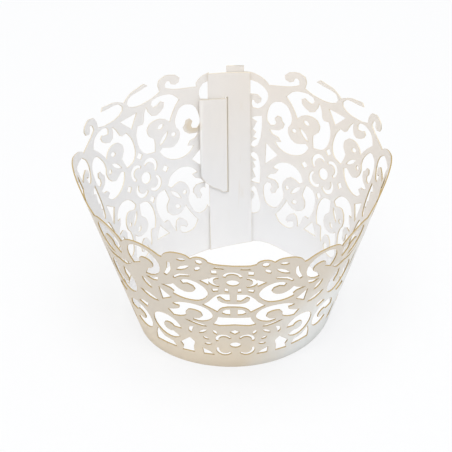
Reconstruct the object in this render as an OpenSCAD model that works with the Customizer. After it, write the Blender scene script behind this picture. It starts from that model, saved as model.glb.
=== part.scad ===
// Laser-cut cupcake wrapper: one sheet of pearl card, cut as lace, rolled into
// an open cone and closed at the back by a tab that passes through a slit.
// The axis is +Z, the bottom edge stands on z = 0, the front is -Y and the seam is at +Y.

/* [Cone] */
// Diameter of the bottom edge
bottom_diameter = 50; // [40:1:65]
// Angle between the wall and the axis
flare = 16.2; // [8:0.1:24]
// Thickness of the card
card = 0.3; // [0.25:0.05:0.5]

/* [Seam] */
// Width of the inner end band
band_width = 11.4; // [9:0.1:13]
// Top of the inner end band, measured up the wall
band_top = 49.6; // [44:0.1:52]
// Angle by which the band, its slit and the tab lean from the seam's centre line
band_lean = 0.95; // [0:0.05:2]
// Distance from the band's free edge to the slit
slit_inset = 6.4; // [5:0.1:8]
// Distance from the seam's centre to the slit, at the bottom edge
slit_across = 2.35; // [1:0.05:4]
// Bottom of the slit, measured up the wall
slit_bottom = 15.7; // [10:0.1:25]
// Length of the slit
slit_length = 27; // [15:0.5:32]
// Width of the slit
slit_width = 0.7; // [0.6:0.05:1.2]
// Clearance between the layers where they lap
lap_gap = 0.15; // [0.1:0.05:0.4]
// How far the tab reaches from the slit
tab_reach = 7.4; // [4:0.1:9]
// How much shorter the tab is than the slit
tab_clearance = 0.6; // [0.3:0.1:2]
// Height of the round corner at the bottom of the tab's free edge
tab_corner = 4.6; // [0:0.1:8]
// Radius to which the tab curls
tab_curl = 27; // [18:1:40]

/* [Lace] */
// Highest point of the lace, measured up the wall
lace_top = 51.2; // [46:0.1:60]
// Slant height of the flowers at the middle of the back medallions
flower_height = 26.6; // [20:0.1:32]
// Angle from the seam's centre to the middle of a back medallion
medallion_angle = 47.3; // [42:0.1:52]

/* [Hidden] */
card_colour = [0.93, 0.9, 0.85];
seam = 90;
r_bottom = bottom_diameter / 2;
wall_facets = 72;
fine = 180;
over = 0.02;
cut_over = 0.25;
skin = 0.03;
card_across = card / cos(flare);
gap_across = lap_gap / cos(flare);
lap = card + lap_gap;
band_from = slit_across - slit_inset;
band_to = band_from + band_width;
step_at = band_to - 0.35;
slit_middle = slit_bottom + slit_length / 2;
slit_turn = asin((slit_across * cos(band_lean) - slit_middle * sin(band_lean)) / radius(slit_middle));
tab_slope = 0.2;
slit_lean = band_lean + atan(sin(flare) * sin(slit_turn));

// The lace is drawn flat, in mm from the seam's centre and mm up the wall, for a sheet of this size.
drawn_top = 51.2;
drawn_flower = 26.6;
drawn_medallion = 26.77;
drawn_column = 53.54;
drawn_front = 101.85;

function radius(s) = r_bottom + s * sin(flare);
// Where a drawn point lies: its height up the wall, and its turn from the seam's centre
function height(y) = y < drawn_flower ? y * flower_height / drawn_flower
    : flower_height + (y - drawn_flower) * (lace_top - flower_height) / (drawn_top - drawn_flower);
function turn(x) = abs(x) < drawn_column ? x * medallion_angle / drawn_medallion
    : sign(x) * (180 - (drawn_front - abs(x)) * (180 - 2 * medallion_angle) / (drawn_front - drawn_column));

function spin(p, t) = [p.x * cos(t) - p.y * sin(t), p.x * sin(t) + p.y * cos(t)];
function arc(c, r, from, to, n) = [for (i = [0:n])
    let (t = from + (to - from) * i / n) c + r * [cos(t), sin(t)]];
function ellipse(c, rx, ry, n) = [for (i = [0:n - 1])
    let (t = 360 * i / n) c + [rx * cos(t), ry * sin(t)]];
// A pointed leaf: two arcs that meet at its ends.
function leaf(c, long, wide, tilt, n = 4) =
    let (h = wide / 2, r = (long * long / 4 + h * h) / (2 * h), a = asin(long / 2 / r))
    [for (side = [0, 180], i = [0:n - 1]) let (t = 90 - a + 2 * a * i / n)
        c + spin(spin(r * [cos(t), sin(t)] - [0, r - h], side), tilt)];
// A crescent that opens away from the direction given.
function crescent(c, r, thick, dir, span, n = 9) =
    let (inner = c - 0.45 * thick * [cos(dir), sin(dir)], tip = 0.9 * span)
    concat(arc(c, r, dir - span, dir + span, n), arc(inner, r - 0.55 * thick, dir + tip, dir - tip, n - 2));
// A round cell into which a ball hangs on a neck from the direction given.
function scroll(c, rx, ry, ball, r, dir, neck, n = 18, m = 10) = concat(
    [for (i = [0:n]) let (t = dir + neck + (360 - 2 * neck) * i / n) c + [rx * cos(t), ry * sin(t)]],
    arc(ball, r, dir - 38, dir - 322, m));

// How far an outline turns at one of its points
function bend(a, b, c) = let (u = b - a, v = c - b) abs(atan2(u.x * v.y - u.y * v.x, u * v));
// Rounds a drawn outline: a long side that meets a neighbour at a blunt corner is bowed to follow the curve.
function bowed(pts, long = 1.6, blunt = 62) = let (n = len(pts)) [for (i = [0:n - 1])
    let (a = pts[(i + n - 1) % n], b = pts[i], c = pts[(i + 1) % n], d = pts[(i + 2) % n],
        from = bend(a, b, c) < blunt ? a : 2 * b - c, to = bend(b, c, d) < blunt ? d : 2 * c - b)
    each norm(c - b) < long || (from != a && to != d) ? [b] : [b, (9 * (b + c) - from - to) / 16]];

// Stands its children on the wall, along the line up the wall at the angle given.
module on_wall(angle) rotate([0, 0, angle]) translate([r_bottom, 0, 0]) rotate([0, flare, 0])
    rotate([90, 0, 90]) children();

// Cuts one opening through the wall. Its outline is drawn in mm across and mm up the wall.
module opening(outline, at, up = 0, mx = 1, my = 1) {
    pts = bowed(outline);
    turns = [for (p = pts) seam + turn(at + mx * p.x)];
    mid = (min(turns) + max(turns)) / 2;
    inwards = card + cut_over + radius(lace_top) * (1 - cos(max(turns) - mid));
    on_wall(mid) translate([0, 0, -inwards]) linear_extrude(inwards + 1)
        polygon([for (i = [0:len(pts) - 1]) let (s = height(up + my * pts[i].y), d = turns[i] - mid)
            [radius(s) * sin(d), s - radius(s) * (1 - cos(d)) * sin(flare)]]);
}

// The same opening on both sides of a centre line.
module pair(pts, at, up = 0, my = 1) for (mx = [-1, 1]) opening(pts, at, up, mx, my);

// Cuts the sheet's top edge down to the line given, which runs outwards from the centre line.
module trim(line, at, mx = 1)
    opening(concat(line, [[line[len(line) - 1].x, 60], [line[0].x, 60]]), at, 0, mx);

module cone(r1, h, r2) linear_extrude(h, scale = r2 / r1) circle(r1, $fn = wall_facets);

// The bare cone of card, whose inside is the same cone moved inwards
module cone_wall(top) difference() {
    cone(r_bottom, top * cos(flare), radius(top));
    translate([0, 0, -over]) cone(r_bottom - card_across - over * tan(flare), top * cos(flare) + 2 * over,
        radius(top) - card_across + over * tan(flare));
}

// Flower with four petals, each outlined by a crescent
module flower(at, up) {
    opening(ellipse([0, 0], 1.6, 1.6, 14), at, up);
    for (mx = [-1, 1], my = [-1, 1]) opening(crescent([2.3, 2.45], 2.25, 1.2, 45, 100), at, up, mx, my);
}

// Upper cell of a medallion's corner, with the curl that hangs into it
corner_upper = [[13.9, 17.2], [12.5, 18.9], [10.6, 19.5], [8.6, 19.5], [7.2, 19], [6.7, 18.1], [7.2, 17.1],
    [8.5, 17.5], [9.3, 18.1], [10.1, 17.6], [9.8, 16.4], [8.9, 15.5], [7.5, 14.8], [6.3, 15.2], [5.6, 16.6],
    [5.4, 18], [4.5, 16.6], [3.9, 14.6], [3.3, 14], [1.9, 14.2], [0.9, 12.2], [0.6, 9.6], [1.1, 7.4],
        [2.5, 5.9],
    [4.9, 5.5], [5.4, 7.4], [5.6, 8.7], [4.3, 10.1], [4.1, 12], [5.1, 13.2], [6.7, 13.7], [8.3, 13.6],
    [9.6, 13], [10.6, 11.9], [11.3, 13.4], [12.5, 15.4]];
// Side cell of a medallion's corner, with a curl and a leaf point
corner_side = [[15.1, 15.5], [16.5, 15.2], [17.7, 14], [18.3, 11.8], [18.3, 9.6], [17.4, 8.4], [16.2, 8.6],
    [15.9, 9.4], [16.4, 10.5], [15.8, 11.4], [14.8, 11.1], [14.4, 10], [13.8, 9.3], [14.1, 8.1], [15.1, 7.3],
    [17.6, 7.1], [16.7, 5.9], [15.1, 5.3], [14.3, 4.1], [15.9, 3.8], [14.9, 2.5], [13.3, 1.6], [11.2, 1.3],
    [8.9, 1.9], [7.2, 3.2], [6.2, 5], [7.2, 5.8], [8.8, 5.2], [10.4, 5], [11.7, 5.8], [12.5, 7], [12.7, 8.8],
    [12, 10], [11.9, 11.4], [12.6, 13.3], [13.6, 14.8]];

// Corner of a medallion: two cells that wrap a heart with two eyes and a slit
module medallion_corner(at, up, mx, my) {
    opening(corner_upper, at, up, mx, my);
    opening(corner_side, at, up, mx, my);
    opening(leaf([7.9, 11.5], 2, 1.2, 25), at, up, mx, my);
    opening(ellipse([11, 8.3], 0.65, 0.6, 8), at, up, mx, my);
    opening(leaf([8.1, 8.1], 4.3, 1.1, 45), at, up, mx, my);
}

// Medallion: a flower between four heart corners, as on the two back panels
module medallion(at, up) {
    flower(at, up);
    for (mx = [-1, 1], my = [-1, 1]) medallion_corner(at, up, mx, my);
    for (my = [-1, 1]) {
        opening([[0, 5.4], [1, 6.4], [0, 7.5], [-1, 6.4]], at, up, 1, my);
        opening([[-2.6, 17.7], [2.6, 17.7], [0, 14.3]], at, up, 1, my);
    }
    for (mx = [-1, 1]) {
        opening([[5.6, 0], [6.6, 1], [7.6, 0], [6.6, -1]], at, up, mx);
        opening([[18.3, 3.1], [14.9, 0], [18.3, -3.1]], at, up, mx);
    }
}

// Top edge over a medallion: a crook and a leaf on each side, above the border bar
module medallion_rim(at) for (mx = [-1, 1]) {
    trim([[0, 48.4], [1.4, 49.4], [3, 50.1], [4.6, 50.4], [6.2, 50.8], [7, 50], [7.1, 52]], at, mx);
    opening([[0.7, 47.7], [1.4, 48.8], [3, 49.3], [4.8, 49.5], [7, 50], [7, 60], [11.5, 60], [11.4, 51],
        [10, 50.4],
        [9.4, 48.8], [9.6, 47.3], [7.5, 46.3], [4.4, 45.8], [2.2, 46.1], [1, 46.8]], at, 0, mx);
    trim([[11.3, 51.05], [12.6, 51], [13.9, 50.6], [14.8, 49.6], [14.5, 48.5], [13.5, 48], [12.6, 48.4],
        [12.4, 49.3], [11.8, 49.5], [11.2, 48.9], [11.1, 47.8], [13, 46.9], [15.5, 46.5],
            [18.4, 46.3]], at, mx);
}

// Side of a column, from its middle outwards: an arched cell, two leafy cells and a foot cell, with curls
column_middle = 27.4;
arch_cell = [[5.9, 46.7], [7.4, 45.4], [8.3, 44], [8.3, 42.1], [7.4, 40.3], [6.1, 39.3], [4.8, 39.6],
    [4.5, 40.6],
    [4.6, 41.8], [5.1, 41.7], [5.3, 41.1], [5.9, 40.7], [6.7, 41.2], [6.8, 42.3], [5.9, 43.3]];
leafy_cell = [[4.5, 9.1], [5.3, 9.6], [7.1, 9.9], [7.2, 6.7], [6.9, 3.5], [6.1, 1.2], [5.3, 0.7], [4.5, 1.1],
    [4.6, 2], [6, 3.2], [5, 3.6], [5.8, 5.1], [4.9, 5.8], [5.9, 8.1]];
foot_cell = [[5.6, 8.4], [7, 8.8], [7.6, 10.4], [7.3, 12.4], [6.8, 14.2], [6.3, 15.8], [5.6, 16.7],
    [4.8, 16.2],
    [4.7, 15.2], [5.3, 14.8], [5.7, 14.1], [5.6, 13.2], [5, 12.7]];
module column_side(at, from, mx) {
    opening(concat([[from, 43.4], [from, 48.2 - 0.2 * from]], arch_cell), at, 0, mx);
    for (my = [-1, 1]) opening(leafy_cell, at, column_middle, mx, my);
    opening(concat([[from, 12.6], [from, 8.8]], foot_cell), at, 0, mx);
}

// Free-standing column under a round arch
module arched_column(at) for (mx = [-1, 1]) {
    column_side(at, 1, mx);
    trim([[0, 50.9], [2, 50.6], [4, 49.7], [5.8, 48.8], [7.4, 47.7], [8.5, 46.3]], at, mx);
}

// The column that the seam divides: one half shows past the band's free edge, a remainder past its other side
module seam_column() {
    column_side(0, 4.1, -1);
    trim([[2.65, 49.6], [4.1, 49.5], [5.8, 48.8], [7.4, 47.7], [8.5, 46.3]], 0, -1);
    trim([[5, 49.8], [5.5, 49.6], [6.6, 49.1], [7.7, 48.2], [8.4, 47.2], [8.5, 46.3]], 0);
    opening([[5.2, 47.5], [5.7, 47.4], [6.8, 46.9], [7.6, 45.7], [8, 44.1], [7.7, 42.8], [5.2, 42.3]], 0);
    opening([[6, 37.4], [7.2, 37], [7.4, 33], [7, 29.2], [6.2, 28.9]], 0);
    opening([[7, 19.4], [8.9, 19.2], [8.9, 12.8], [7.5, 11.8]], 0);
}

module front_motif() {
    // Upper flower, with its three crescents and the small windows round it
    opening(ellipse([0, 37.8], 1.4, 1.25, 12), drawn_front);
    opening(crescent([0, 40.3], 2, 1, 90, 95), drawn_front);
    pair(crescent([3.2, 38], 2, 1, 0, 95), drawn_front);
    pair([[3.2, 41.1], [4.3, 41], [4.4, 42.5], [3.2, 42.7]], drawn_front);
    pair([[1.6, 43.3], [3.8, 43.4], [3.2, 44], [1.9, 43.9]], drawn_front);
    pair([[1, 33.9], [1.8, 34], [1.7, 35.6], [1.1, 35.3]], drawn_front);
    pair([[3.3, 34.1], [4.4, 33.7], [4.7, 35], [3.3, 35.2]], drawn_front);
    pair([[7.2, 37.8], [5, 39.2], [5.3, 36.3]], drawn_front);
    // Leaf clusters, with their leaf-shaped windows
    pair(ellipse([6.6, 45.3], 0.75, 0.95, 8), drawn_front);
    pair(leaf([7.2, 42.5], 2.2, 1.1, 120), drawn_front);
    pair(leaf([10.4, 45.2], 2.2, 1.2, 160), drawn_front);
    pair(leaf([10.4, 42], 4.2, 1.3, 140), drawn_front);
    pair([[13.2, 43], [13.9, 43.1], [14.4, 40.4], [15.6, 37.6], [15, 37.2], [13.5, 40]], drawn_front);
    pair([[9, 39.6], [11.6, 39.3], [13.4, 37.4], [13.1, 36.8], [11.6, 38.2], [9.3, 38.9]], drawn_front);
    // Scroll cells above and below the middle
    pair([[11.8, 36.4], [10.9, 37.3], [9, 37.4], [7.2, 36.2], [6, 34.4], [5.7, 32.5], [6.6, 30.5],
        [8.2, 29.2],
        [10.6, 28.9], [12.9, 29.3], [14.6, 30.1], [14.1, 31.2], [14.9, 32.1], [17.4, 32.7], [15, 33.6],
        [13.8, 34.5], [12.9, 33.2], [11.2, 32.2], [9.5, 32.5], [8.5, 33.8], [8.9, 35.1], [10.2, 35.8],
        [11.3, 35.3]], drawn_front);
    pair([[15.7, 25.7], [13.6, 27], [10.6, 27.5], [7.8, 26.9], [6, 25.4], [5.3, 23.5], [5.8, 21.8],
        [7.3, 20.6],
        [9.3, 20.1], [10.7, 20.5], [10.6, 21.2], [9, 21.5], [8, 22.6], [8.3, 24], [9.8, 24.8], [11.5, 24.6],
        [12.4, 23.3], [12.5, 21.9], [14.3, 20.8], [16.4, 20.4], [17.7, 22.6], [15.7, 23.3], [14, 24.3],
        [13.8, 25.3], [14.8, 25.3]], drawn_front);
    // Pointed cell with an anchor hanging into it and another standing in it
    opening(concat([for (side = [1, -1]) each let (half = [[0, 28.9], [1.2, 28.9], [2.6, 29.3], [3.5, 30.2],
        [3.7, 31.2], [3, 31.7], [2.4, 30.9], [1.7, 30.1], [0.8, 30.2], [0.8, 33], [3, 32.9], [4.5, 31.4],
        [5.7, 29.5], [7.4, 27.7], [5.7, 26.5], [4, 25.1], [3.5, 26.1], [2.8, 26.9], [1.5, 27.4], [0, 27.5]])
        side == 1 ? half : [for (i = [len(half) - 2:-1:1]) [-half[i].x, half[i].y]]]), drawn_front);
    pair([[0.9, 26.5], [1.9, 26.4], [2.6, 25.8], [2.9, 24.7], [2, 24.1], [0.9, 24]], drawn_front);
    opening([[-4, 22.9], [4, 22.9], [4.5, 21.3], [5.5, 19.6], [3.8, 19], [0, 19.5], [-3.8, 19], [-5.5, 19.6],
        [-4.5, 21.3]], drawn_front);
    pair([[13.2, 20], [11.3, 19], [8.5, 18.1], [7.3, 18.2], [7.7, 18.8], [10.4, 19.6]], drawn_front);
    pair([[18.4, 31.3], [18.4, 26.2], [15.4, 28.2]], drawn_front);
    // Lower flower, with its four crescents and the small windows round it
    opening(ellipse([0, 10.4], 1.6, 1.2, 12), drawn_front);
    pair(crescent([3.2, 12.8], 2.3, 1.1, 70, 90), drawn_front);
    pair(crescent([3.3, 7.9], 2.4, 1.1, -60, 90), drawn_front);
    opening([[0, 15.2], [1.4, 16.3], [0, 17.3], [-1.4, 16.3]], drawn_front);
    pair(leaf([5.3, 15.9], 2.2, 1.1, 70), drawn_front);
    pair(leaf([8.7, 15.8], 3.2, 1.1, 140), drawn_front);
    pair(leaf([8.2, 12.9], 1.9, 1.1, 30), drawn_front);
    pair(leaf([7.8, 10.4], 2.4, 1.1, 170), drawn_front);
    pair([[9.9, 8.1], [9.8, 5.4], [6.4, 5.4], [7.8, 7]], drawn_front);
    pair([[11.2, 17.4], [12.4, 16.9], [13, 15], [12.3, 14.2], [11.9, 15.6]], drawn_front);
    pair([[13.2, 12], [11.9, 10.4], [12.6, 8.2], [12.8, 5.4], [17, 5.2], [16.2, 7.2], [16.9, 8.6],
        [15, 10.4]], drawn_front);
}

// Top edge over the front motif: a level middle, two leaf humps and two ovals on each side
module front_rim(mx) {
    trim([[-0.2, 44.7], [3.6, 44.9], [4.8, 45.5]], drawn_front, mx);
    trim(concat([[4.7, 45.4]], arc([6.6, 45.3], 1.8, 150, 30, 5), [[8.4, 46.1]]), drawn_front, mx);
    trim([[8.3, 46], [9.2, 47], [10.8, 47.4], [12.6, 47.1], [14.2, 45.9], [15.1, 44.3]], drawn_front, mx);
    trim(concat([[15, 44.3]], arc([20.6, 40.3], 6.4, 138, 38, 7), [[26.2, 43.5]]), drawn_front, mx);
    trim(concat([[26.1, 43.4]], arc([31.4, 40.6], 6.2, 140, 46, 6), [[36, 45]]), drawn_front, mx);
    trim([[35.9, 45], [37.4, 45.7], [40.1, 46.3]], drawn_front, mx);
}

// Panels beside the front motif: ovals under the top edge, scroll cells and drops below
module side_motif(mx) {
    opening(scroll([20.6, 40.3], 4.4, 5.3, [20, 39.6], 1.9, -60, 24), drawn_front, 0, mx);
    opening(scroll([31.4, 40.8], 4.2, 4.8, [31.4, 40.4], 1.6, -120, 24), drawn_front, 0, mx);
    opening([[17.6, 35.2], [18.2, 33.6], [19.5, 33.2], [21.3, 33.9], [19.2, 34.6]], drawn_front, 0, mx);
    opening(leaf([21.9, 31], 4.2, 1.8, 60), drawn_front, 0, mx);
    opening(leaf([22.6, 25.6], 6, 1.9, 22), drawn_front, 0, mx);
    opening(scroll([19.7, 14.7], 4.6, 5, [19.2, 14.4], 1.8, 200, 24), drawn_front, 0, mx);
    opening([[24.2, 11.4], [22.4, 8.6], [19.6, 7.9], [18.9, 5.6], [26.4, 5.6],
        [25.8, 8.4]], drawn_front, 0, mx);
    opening(scroll([30.2, 13.4], 4.4, 5, [30.2, 13.2], 1.7, -20, 24), drawn_front, 0, mx);
    opening(scroll([31.4, 27.2], 4.6, 5.4, [31.4, 27.4], 1.9, 90, 22), drawn_front, 0, mx);
    opening([[25, 36.6], [27.6, 34.2], [30.4, 34.4], [33, 34], [36.2, 35.6], [33.4, 34.9],
        [29, 35.4]], drawn_front, 0, mx);
    opening([[24.6, 20.9], [26.6, 21.2], [28.4, 19.9], [25.6, 18.9]], drawn_front, 0, mx);
    opening([[36.2, 21.6], [38.2, 19.2], [35, 18.8], [33.6, 20.4]], drawn_front, 0, mx);
    opening([[38, 32.6], [38, 24.4], [37.2, 28.5]], drawn_front, 0, mx);
    opening([[36.2, 6], [38.2, 6], [38.2, 12], [37.2, 9.4]], drawn_front, 0, mx);
}

module lace() {
    for (side = [-1, 1]) {
        medallion(side * drawn_medallion, drawn_flower);
        medallion_rim(side * drawn_medallion);
        arched_column(side * drawn_column);
        side_motif(side);
        front_rim(side);
    }
    front_motif();
    seam_column();
}

// Stands its children on the wall at the seam, along the line on which the band and the slit lean.
module on_band() on_wall(seam) rotate([0, 0, band_lean]) children();

// The same along the slit itself
module on_slit() on_wall(seam + slit_turn) translate([0, slit_middle, 0]) rotate([0, 0, slit_lean])
    translate([0, -slit_middle, 0]) children();

// A bar through the wall at the seam, from one distance across to another
module through_band(from, to, low, high)
    on_band() translate([from, low, -6]) cube([to - from, high - low, 9]);

// Part of the wall round the seam, set inwards and as thick as given
module seam_wall(inset, thick, top) rotate([0, 0, seam - 25]) rotate_extrude(angle = 50, $fn = fine)
    polygon([[r_bottom - inset, 0], [radius(top) - inset, top * cos(flare)],
        [radius(top) - inset - thick, top * cos(flare)], [r_bottom - inset - thick, 0]]);

// Inner end band, with the slit for the tab
module inner_band() difference() {
    intersection() {
        seam_wall(card_across + gap_across, card_across, band_top);
        through_band(band_from, band_to, -2, band_top + 9);
    }
    through_band(slit_across - slit_width / 2, slit_across + slit_width / 2, slit_bottom,
        slit_bottom + slit_length);
}

// The step by which the inner end band leaves the rest of the sheet
module step() intersection() {
    seam_wall(0.05, 1.5 * card_across + gap_across, band_top - 0.6);
    through_band(band_to - 0.6, band_to - 0.1, -2, band_top + 9);
}

// The tab: out of the outer end, through the slit and over the inner band
module tab() {
    root = slit_bottom + tab_clearance / 2;
    length = slit_length - tab_clearance;
    inside = 2 * lap;
    fold = [[-0.7, -skin], [0, -skin], [card / 2, -card / 2], [card / 2, -inside], [0.6, -inside - skin],
        [0.6, skin - inside - card], [0, -inside - card], [-card / 2, -inside], [-card / 2, -card],
        [-0.7, skin - card]];
    corner = [for (t = [15:15:90])
        [tab_reach * sin(t), tab_corner * (1 - cos(t)) + tab_slope * tab_reach * sin(t)]];
    on_slit() {
        lengthwise(root, length) polygon(fold);
        difference() {
            lengthwise(root, length) translate([0, -inside - tab_curl]) intersection() {
                difference() {
                    circle(tab_curl, $fn = fine);
                    circle(tab_curl - card, $fn = fine);
                }
                translate([0.1, 0.5 * tab_curl]) square([tab_reach - 0.1, tab_curl]);
            }
            translate([0, root, -8]) linear_extrude(9)
                polygon(concat([[0.6, -1]], corner, [[tab_reach + 1, slit_length], [tab_reach + 1, -1]]));
        }
    }
}

// Runs a section, drawn in mm across and mm outwards, up the wall.
module lengthwise(from, length) translate([0, from + length, 0]) rotate([90, 0, 0])
    linear_extrude(length) children();

module wrapper() color(card_colour) {
    // The outer layer stops at the slit, where the tab leaves it.
    difference() {
        cone_wall(lace_top);
        through_band(slit_across, step_at, -2, lace_top + 9);
        lace();
    }
    inner_band();
    step();
    tab();
}

wrapper();
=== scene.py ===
import math
import bmesh
import bpy
from mathutils import Matrix, Vector


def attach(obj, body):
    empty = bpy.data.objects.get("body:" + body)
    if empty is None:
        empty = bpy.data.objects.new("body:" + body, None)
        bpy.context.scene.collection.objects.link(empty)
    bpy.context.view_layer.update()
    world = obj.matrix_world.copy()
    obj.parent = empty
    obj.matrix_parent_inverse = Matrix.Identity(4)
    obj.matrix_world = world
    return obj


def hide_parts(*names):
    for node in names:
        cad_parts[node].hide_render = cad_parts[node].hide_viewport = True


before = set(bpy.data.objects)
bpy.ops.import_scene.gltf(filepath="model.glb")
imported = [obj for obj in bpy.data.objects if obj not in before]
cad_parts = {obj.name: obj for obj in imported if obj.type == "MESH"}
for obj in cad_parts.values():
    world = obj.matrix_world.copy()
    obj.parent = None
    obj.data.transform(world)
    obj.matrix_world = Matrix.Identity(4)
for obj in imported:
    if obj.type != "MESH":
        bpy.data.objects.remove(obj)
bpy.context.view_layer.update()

scene = bpy.context.scene

# Camera, from a fit of the cone to the photo: a long lens that looks down from the front
PHOTO_SIDE = 452
FOCAL_PX = 1500.0
SENSOR_MM = 36
ELEVATION = math.radians(37.355)
DISTANCE = 0.397377
AIM_PX = (233.662, 302.494)
ROLL = math.radians(-2.0)
TURN = math.radians(1.5)

# The sheet's cone, as the solid has it
FLARE = math.radians(16.2)
R_BOTTOM = 0.025
TOP = 0.0492
FACETS = 72
CARD = 0.0003
LAP_GAP = 0.00015
INNER_FACE = CARD / math.cos(FLARE)
BAND_DEPTH = (2 * CARD + LAP_GAP) / math.cos(FLARE)

# Slots of the sheet's materials
OUTSIDE, INSIDE, EDGE = range(3)

# Humps and a hollow of the real sheet: metres out from the cone, then the middle and how far it reaches
# before and after that, in degrees from the seam towards the photo's left
BESIDE_SEAM = (0.0022, -13, 16, 12)
LEFT_OF_SEAM = (-0.0012, 34, 20, 20)
LOW_ON_THE_LEFT = (0.0016, 122, 34, 34)
RIM_ON_THE_RIGHT = (0.0034, -150, 25, 25)
# Height where those near the base have faded out, and how steeply the one at the rim grows with height
LOW_ENDS = 0.046
RIM_POWER = 1.3

# About how many degrees nearer the front the real lace lies, and how far from the front it does so most
CREEP_LEFT = 2.4
CREEP_RIGHT = 7.0
CREEP_PEAK = 62

# Colours of the card, whose tones hold painted light, painted shade and painted sheen, and of the laser's
# scorch
# Outside: the hem's tan is painted light and the taupe above it painted shade, both tinted with a painted
# golden sheen of the pearl coating
HEM_PAINTED_LIGHT_AND_SHEEN = (0.85, 0.755, 0.615, 1)
TAUPE_PAINTED_SHADE = (0.73, 0.665, 0.575, 1)
# Painted sheen of the pearl coating: grey low on the right of the outside
GREY_PAINTED_SHEEN = (0.89, 0.90, 0.89, 1)
# Painted sheen of the pearl coating on the inside: beige towards the rim and the right, cool white below
BEIGE_PAINTED_SHEEN = (0.89, 0.84, 0.785, 1)
COOL_PAINTED_SHEEN = (0.87, 0.875, 0.89, 1)
SINGED = (0.50, 0.37, 0.17, 1)
# Scorch of the cut edges at the back, lightened with painted light that stands in for light through the
# nearly closed slit
PALE_SCORCH_AND_PAINTED_LIGHT = (0.84, 0.78, 0.65, 1)
TAN = (0.67, 0.54, 0.33, 1)

# The one scroll's end, beside the tab, that the laser scorched brown
SINGED_HOOK = (-0.0110, 0.0330, 0.0345)

# The floor as the light meets it, and the white that the camera sees over it
FLOOR_GREY = (0.93, 0.93, 0.93, 1)
FLOOR_WHITE = (0.95, 0.955, 0.965, 1)


def add_camera():
    back = Vector((0, -math.cos(ELEVATION), math.sin(ELEVATION)))
    right = Vector((1, 0, 0))
    up = Vector((0, math.sin(ELEVATION), math.cos(ELEVATION)))
    per_px = DISTANCE / FOCAL_PX
    place = back * DISTANCE - right * (AIM_PX[0] - PHOTO_SIDE / 2) * per_px
    place += up * (AIM_PX[1] - PHOTO_SIDE / 2) * per_px
    c, s = math.cos(ROLL), math.sin(ROLL)
    pose = Matrix((right * c + up * s, up * c - right * s, back)).transposed().to_4x4()
    pose.translation = place
    lens = bpy.data.cameras.new("camera")
    lens.sensor_width = SENSOR_MM
    lens.lens = FOCAL_PX / PHOTO_SIDE * SENSOR_MM
    lens.clip_start = 0.01
    lens.clip_end = 20
    camera = bpy.data.objects.new("camera", lens)
    camera.matrix_world = Matrix.Rotation(TURN, 4, "Z") @ pose
    scene.collection.objects.link(camera)
    scene.camera = camera


add_camera()


# Shape of the real sheet

def turn_of(p):
    """Degrees from the seam, towards the photo's left."""
    return math.degrees(math.atan2(-p.x, p.y))


def hump(turn, out, middle, before, after):
    """A bell with its own reach on each side of its middle."""
    away = (turn - middle + 180) % 360 - 180
    reach = before if away < 0 else after
    return out * math.exp(-(away / reach) ** 2)


def sag(turn, z):
    """How far the real sheet stands out from the cone, as its base isn't round and its rim leans."""
    low = max(0.0, 1 - z / LOW_ENDS)
    base = sum(hump(turn, *part) for part in (BESIDE_SEAM, LEFT_OF_SEAM, LOW_ON_THE_LEFT))
    return low * base + (z / TOP) ** RIM_POWER * hump(turn, *RIM_ON_THE_RIGHT)


def creep(turn, z, power=3, at_hem=0.75, at_rim=1.05):
    """How many degrees the real lace lies nearer the front, a little more at the rim."""
    u = (180 - abs(turn)) / CREEP_PEAK
    share = u ** power * math.exp(power / 2 * (1 - u * u)) * (at_hem + (at_rim - at_hem) * z / TOP)
    return -CREEP_RIGHT * share if turn < 0 else CREEP_LEFT * share


def cone_radius(p):
    return R_BOTTOM + p.z * math.tan(FLARE)


def depth(p):
    """How far a point lies inside the sheet's outer face."""
    return cone_radius(p) + sag(turn_of(p), max(p.z, 0.0)) - math.hypot(p.x, p.y)


def sheet_normal(p, turn_step=0.5, z_step=0.0002):
    """The direction out of the real sheet at a point."""
    turn = turn_of(p)
    z = max(p.z, z_step)
    across = math.hypot(p.x, p.y)
    out = Vector((p.x / across, p.y / across, 0))
    along = Vector((-out.y, out.x, 0))
    bend = (sag(turn + turn_step, z) - sag(turn - turn_step, z)) / math.radians(2 * turn_step) / across
    rise = math.tan(FLARE) + (sag(turn, z + z_step) - sag(turn, z - z_step)) / (2 * z_step)
    return (out - along * bend - Vector((0, 0, rise))).normalized()


def cone_normal(p):
    across = math.hypot(p.x, p.y)
    c = math.cos(FLARE)
    return Vector((p.x / across * c, p.y / across * c, -math.sin(FLARE)))


# The sheet: a copy of the solid with its facets rounded

def round_wall(bm):
    """Moves the facets' points out to the cone, and then to where the real sheet has them."""
    slack = 1.01
    sagitta = slack * (1 - math.cos(math.pi / FACETS))
    for v in bm.verts:
        across = math.hypot(v.co.x, v.co.y)
        cone = cone_radius(v.co)
        target = across
        for face_depth in (0.0, INNER_FACE):
            if abs(cone - face_depth - across) < cone * sagitta:
                target = cone - face_depth
        z = max(v.co.z, 0.0)
        turn = turn_of(v.co)
        turn += creep(turn, z)
        target += sag(turn, z)
        v.co.x = -target * math.sin(math.radians(turn))
        v.co.y = target * math.cos(math.radians(turn))


def shade_as_one_sheet(mesh, sharp=math.radians(35), deepest=1.08 * BAND_DEPTH):
    """Smooths the wall's two faces. The cut edges, and the tab, which lies deeper, stay as they are."""
    mesh.set_sharp_from_angle(angle=sharp)
    normals = [Vector()] * len(mesh.loops)
    for face in mesh.polygons:
        if face.material_index == EDGE or depth(face.center) > deepest:
            continue
        side = 1 if face.material_index == OUTSIDE else -1
        for i in face.loop_indices:
            normals[i] = side * sheet_normal(mesh.vertices[mesh.loops[i].vertex_index].co)
    mesh.normals_split_custom_set(normals)


def slot_of(face, along=0.6):
    """The sheet's outside, its inside or a cut edge, by how nearly the face lies along the wall."""
    facing = face.normal.dot(cone_normal(face.calc_center_median()))
    if abs(facing) < along:
        return EDGE
    return OUTSIDE if facing > 0 else INSIDE


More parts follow.
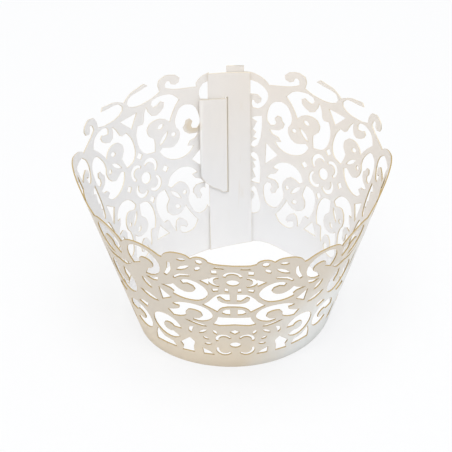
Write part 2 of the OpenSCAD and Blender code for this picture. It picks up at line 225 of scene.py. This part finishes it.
def add_sheet(weld=2e-6, sliver=4e-5):
    bm = bmesh.new()
    bm.from_mesh(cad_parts["wrapper"].data)
    bmesh.ops.remove_doubles(bm, verts=bm.verts, dist=weld)
    bmesh.ops.dissolve_degenerate(bm, edges=bm.edges, dist=sliver)
    for face in bm.faces:
        face.material_index = slot_of(face)
        face.smooth = True
    round_wall(bm)
    mesh = bpy.data.meshes.new("sheet")
    bm.to_mesh(mesh)
    bm.free()
    shade_as_one_sheet(mesh)
    for material in (card_outside(), card_inside(), cut_edge()):
        mesh.materials.append(material)
    sheet = bpy.data.objects.new("sheet", mesh)
    scene.collection.objects.link(sheet)
    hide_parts("wrapper")
    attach(sheet, "root")


# Materials

class Shader:
    """A new material, with its nodes added and wired by name."""

    def __init__(self, name, roughness, specular):
        self.material = bpy.data.materials.new(name)
        self.material.use_nodes = True
        self.tree = self.material.node_tree
        self.principled = self.tree.nodes["Principled BSDF"]
        self.principled.inputs["Roughness"].default_value = roughness
        self.principled.inputs["Specular IOR Level"].default_value = specular
        self.output = self.tree.nodes["Material Output"]

    def add(self, kind, operation=None, **inputs):
        """A node. A value goes into the input of that name, and a socket is linked to it."""
        node = self.tree.nodes.new(kind)
        if operation:
            node.operation = operation
        for name, value in inputs.items():
            self.feed(node.inputs[name.replace("_", " ")], value)
        return node

    def feed(self, socket, value):
        if isinstance(value, bpy.types.NodeSocket):
            self.tree.links.new(value, socket)
        else:
            socket.default_value = value

    def math(self, operation, *values):
        node = self.add("ShaderNodeMath", operation)
        for socket, value in zip(node.inputs, values):
            self.feed(socket, value)
        return node.outputs["Value"]

    def vector_math(self, operation, output, a, b):
        node = self.add("ShaderNodeVectorMath", operation)
        self.feed(node.inputs[0], a)
        self.feed(node.inputs[1], b)
        return node.outputs[output]

    def spread(self, value, low, high, to_low=0.0, to_high=1.0):
        return self.add("ShaderNodeMapRange", Value=value, From_Min=low, From_Max=high, To_Min=to_low,
                        To_Max=to_high).outputs["Result"]

    def blend(self, a, b, factor):
        mix = self.tree.nodes.new("ShaderNodeMix")
        mix.data_type = "RGBA"
        self.feed(mix.inputs["Factor"], factor)
        self.feed(mix.inputs["A"], a)
        self.feed(mix.inputs["B"], b)
        return mix.outputs["Result"]

    def mix_surface(self, a, b, factor):
        both = self.add("ShaderNodeMixShader", Fac=factor)
        self.feed(both.inputs[1], a)
        self.feed(both.inputs[2], b)
        self.feed(self.output.inputs["Surface"], both.outputs["Shader"])


class Card(Shader):
    """Pearl card with a fine grain, which lets a little light through."""

    SPECULAR = 0.35
    THROUGH = 0.12

    def __init__(self, name, roughness):
        super().__init__(name, roughness, self.SPECULAR)
        self.place = self.add("ShaderNodeTexCoord").outputs["Object"]

    def noise(self, scale, detail):
        return self.add("ShaderNodeTexNoise", Vector=self.place, Scale=scale, Detail=detail).outputs["Fac"]

    def across(self, way, low, high, cloud=0.026):
        """0 to 1 between two places along a direction, with a cloudy border."""
        along = self.vector_math("DOT_PRODUCT", "Value", self.place, way)
        shifted = self.math("MULTIPLY_ADD", self.noise(scale=45.0, detail=2.0), cloud, along)
        return self.spread(shifted, low + cloud / 2, high + cloud / 2)

    def round_about(self, point, near, far, most):
        """The most within the near distance of a point, and nothing beyond the far one."""
        away = self.vector_math("DISTANCE", "Value", self.place, point)
        return self.spread(away, low=far, high=near, to_high=most)

    def near_a_cut(self, most):
        """How near the laser's cut is: only there do short rays inside the card meet a face."""
        reach = self.add("ShaderNodeAmbientOcclusion", Distance=0.95 * CARD)
        reach.inside = True
        reach.only_local = True
        reach.samples = 6
        scorch = self.spread(reach.outputs["AO"], low=0.92, high=0.5, to_high=most)
        uneven = self.spread(self.noise(scale=120.0, detail=1.0), low=0.35, high=0.6, to_low=0.35)
        return self.math("MULTIPLY", scorch, uneven)

    def coloured(self, colour):
        self.feed(self.principled.inputs["Base Color"], colour)
        fibres = self.noise(scale=2600.0, detail=3.0)
        grain = self.add("ShaderNodeBump", Height=fibres, Strength=0.12, Distance=4e-5)
        self.feed(self.principled.inputs["Normal"], grain.outputs["Normal"])
        through = self.add("ShaderNodeBsdfTranslucent", Color=colour)
        self.mix_surface(self.principled.outputs["BSDF"], through.outputs["BSDF"], self.THROUGH)
        return self.material


def card_outside():
    """Tan at the hem, taupe above it and pale grey low on the right: painted light at the hem, painted
    shade above it and the pearl coating's painted sheen, golden and, low on the right, grey.
    """
    card = Card("card_outside", roughness=0.45)
    # Painted light at the hem, painted shade above it
    colour = card.blend(HEM_PAINTED_LIGHT_AND_SHEEN, TAUPE_PAINTED_SHADE, card.across((0, 0, 1), low=0.003, high=0.018))
    # Painted sheen: grey low on the right
    colour = card.blend(colour, GREY_PAINTED_SHEEN, card.across((1, 0, -0.6), low=0.0, high=0.014))
    return card.coloured(card.blend(colour, TAN, card.near_a_cut(0.9)))


def card_inside():
    """Cool white below and beige towards the rim and the right, a painted sheen of the pearl coating, with
    one scroll's end scorched brown.
    """
    card = Card("card_inside", roughness=0.5)
    # Painted sheen: cool white below, beige towards the rim and the right
    colour = card.blend(COOL_PAINTED_SHEEN, BEIGE_PAINTED_SHEEN, card.across((0.6, 0, 1), low=0.018, high=0.050))
    colour = card.blend(colour, TAN, card.near_a_cut(0.35))
    hook = card.round_about(SINGED_HOOK, near=0.0015, far=0.0030, most=0.55)
    return card.coloured(card.blend(colour, TAN, hook))


def cut_edge():
    """Brown scorch at the front, and paler at the back, where painted light stands in for light through
    the nearly closed slit.
    """
    card = Card("cut_edge", roughness=0.7)
    # Paler towards the back: painted light over the real scorch
    towards_the_back = card.across((0, 1, 0), low=-0.004, high=0.012)
    return card.coloured(card.blend(SINGED, PALE_SCORCH_AND_PAINTED_LIGHT, towards_the_back))


def white_floor(whitened=0.8):
    """A pale floor that the camera sees nearly white, so that only a faint shadow shows."""
    floor = Shader("floor", roughness=0.9, specular=0.1)
    floor.feed(floor.principled.inputs["Base Color"], FLOOR_GREY)
    white = floor.add("ShaderNodeEmission", Color=FLOOR_WHITE, Strength=1.0)
    seen = floor.add("ShaderNodeLightPath").outputs["Is Camera Ray"]
    share = floor.math("MULTIPLY", seen, whitened)
    floor.mix_surface(floor.principled.outputs["BSDF"], white.outputs["Emission"], share)
    return floor.material


# Floor and light

def add_floor(half=3.0):
    mesh = bpy.data.meshes.new("floor")
    corners = [(-half, -half, 0), (half, -half, 0), (half, half, 0), (-half, half, 0)]
    mesh.from_pydata(corners, [], [(0, 1, 2, 3)])
    mesh.materials.append(white_floor())
    floor = bpy.data.objects.new("floor", mesh)
    scene.collection.objects.link(floor)


def add_softbox(name, place, aim, size, power):
    light = bpy.data.lights.new(name, "AREA")
    light.shape = "DISK"
    light.size = size
    light.energy = power
    box = bpy.data.objects.new(name, light)
    box.location = place
    box.rotation_euler = (Vector(aim) - Vector(place)).to_track_quat("-Z", "Y").to_euler()
    scene.collection.objects.link(box)


def add_light(sky=0.7):
    world = bpy.data.worlds.new("studio")
    world.use_nodes = True
    background = world.node_tree.nodes["Background"]
    background.inputs["Color"].default_value = (1, 1, 1, 1)
    background.inputs["Strength"].default_value = sky
    scene.world = world
    add_softbox("overhead", place=(0, -0.2, 1.0), aim=(0, 0, 0), size=0.8, power=6.4)
    scene.view_settings.view_transform = "Standard"


add_sheet()
add_floor()
add_light()
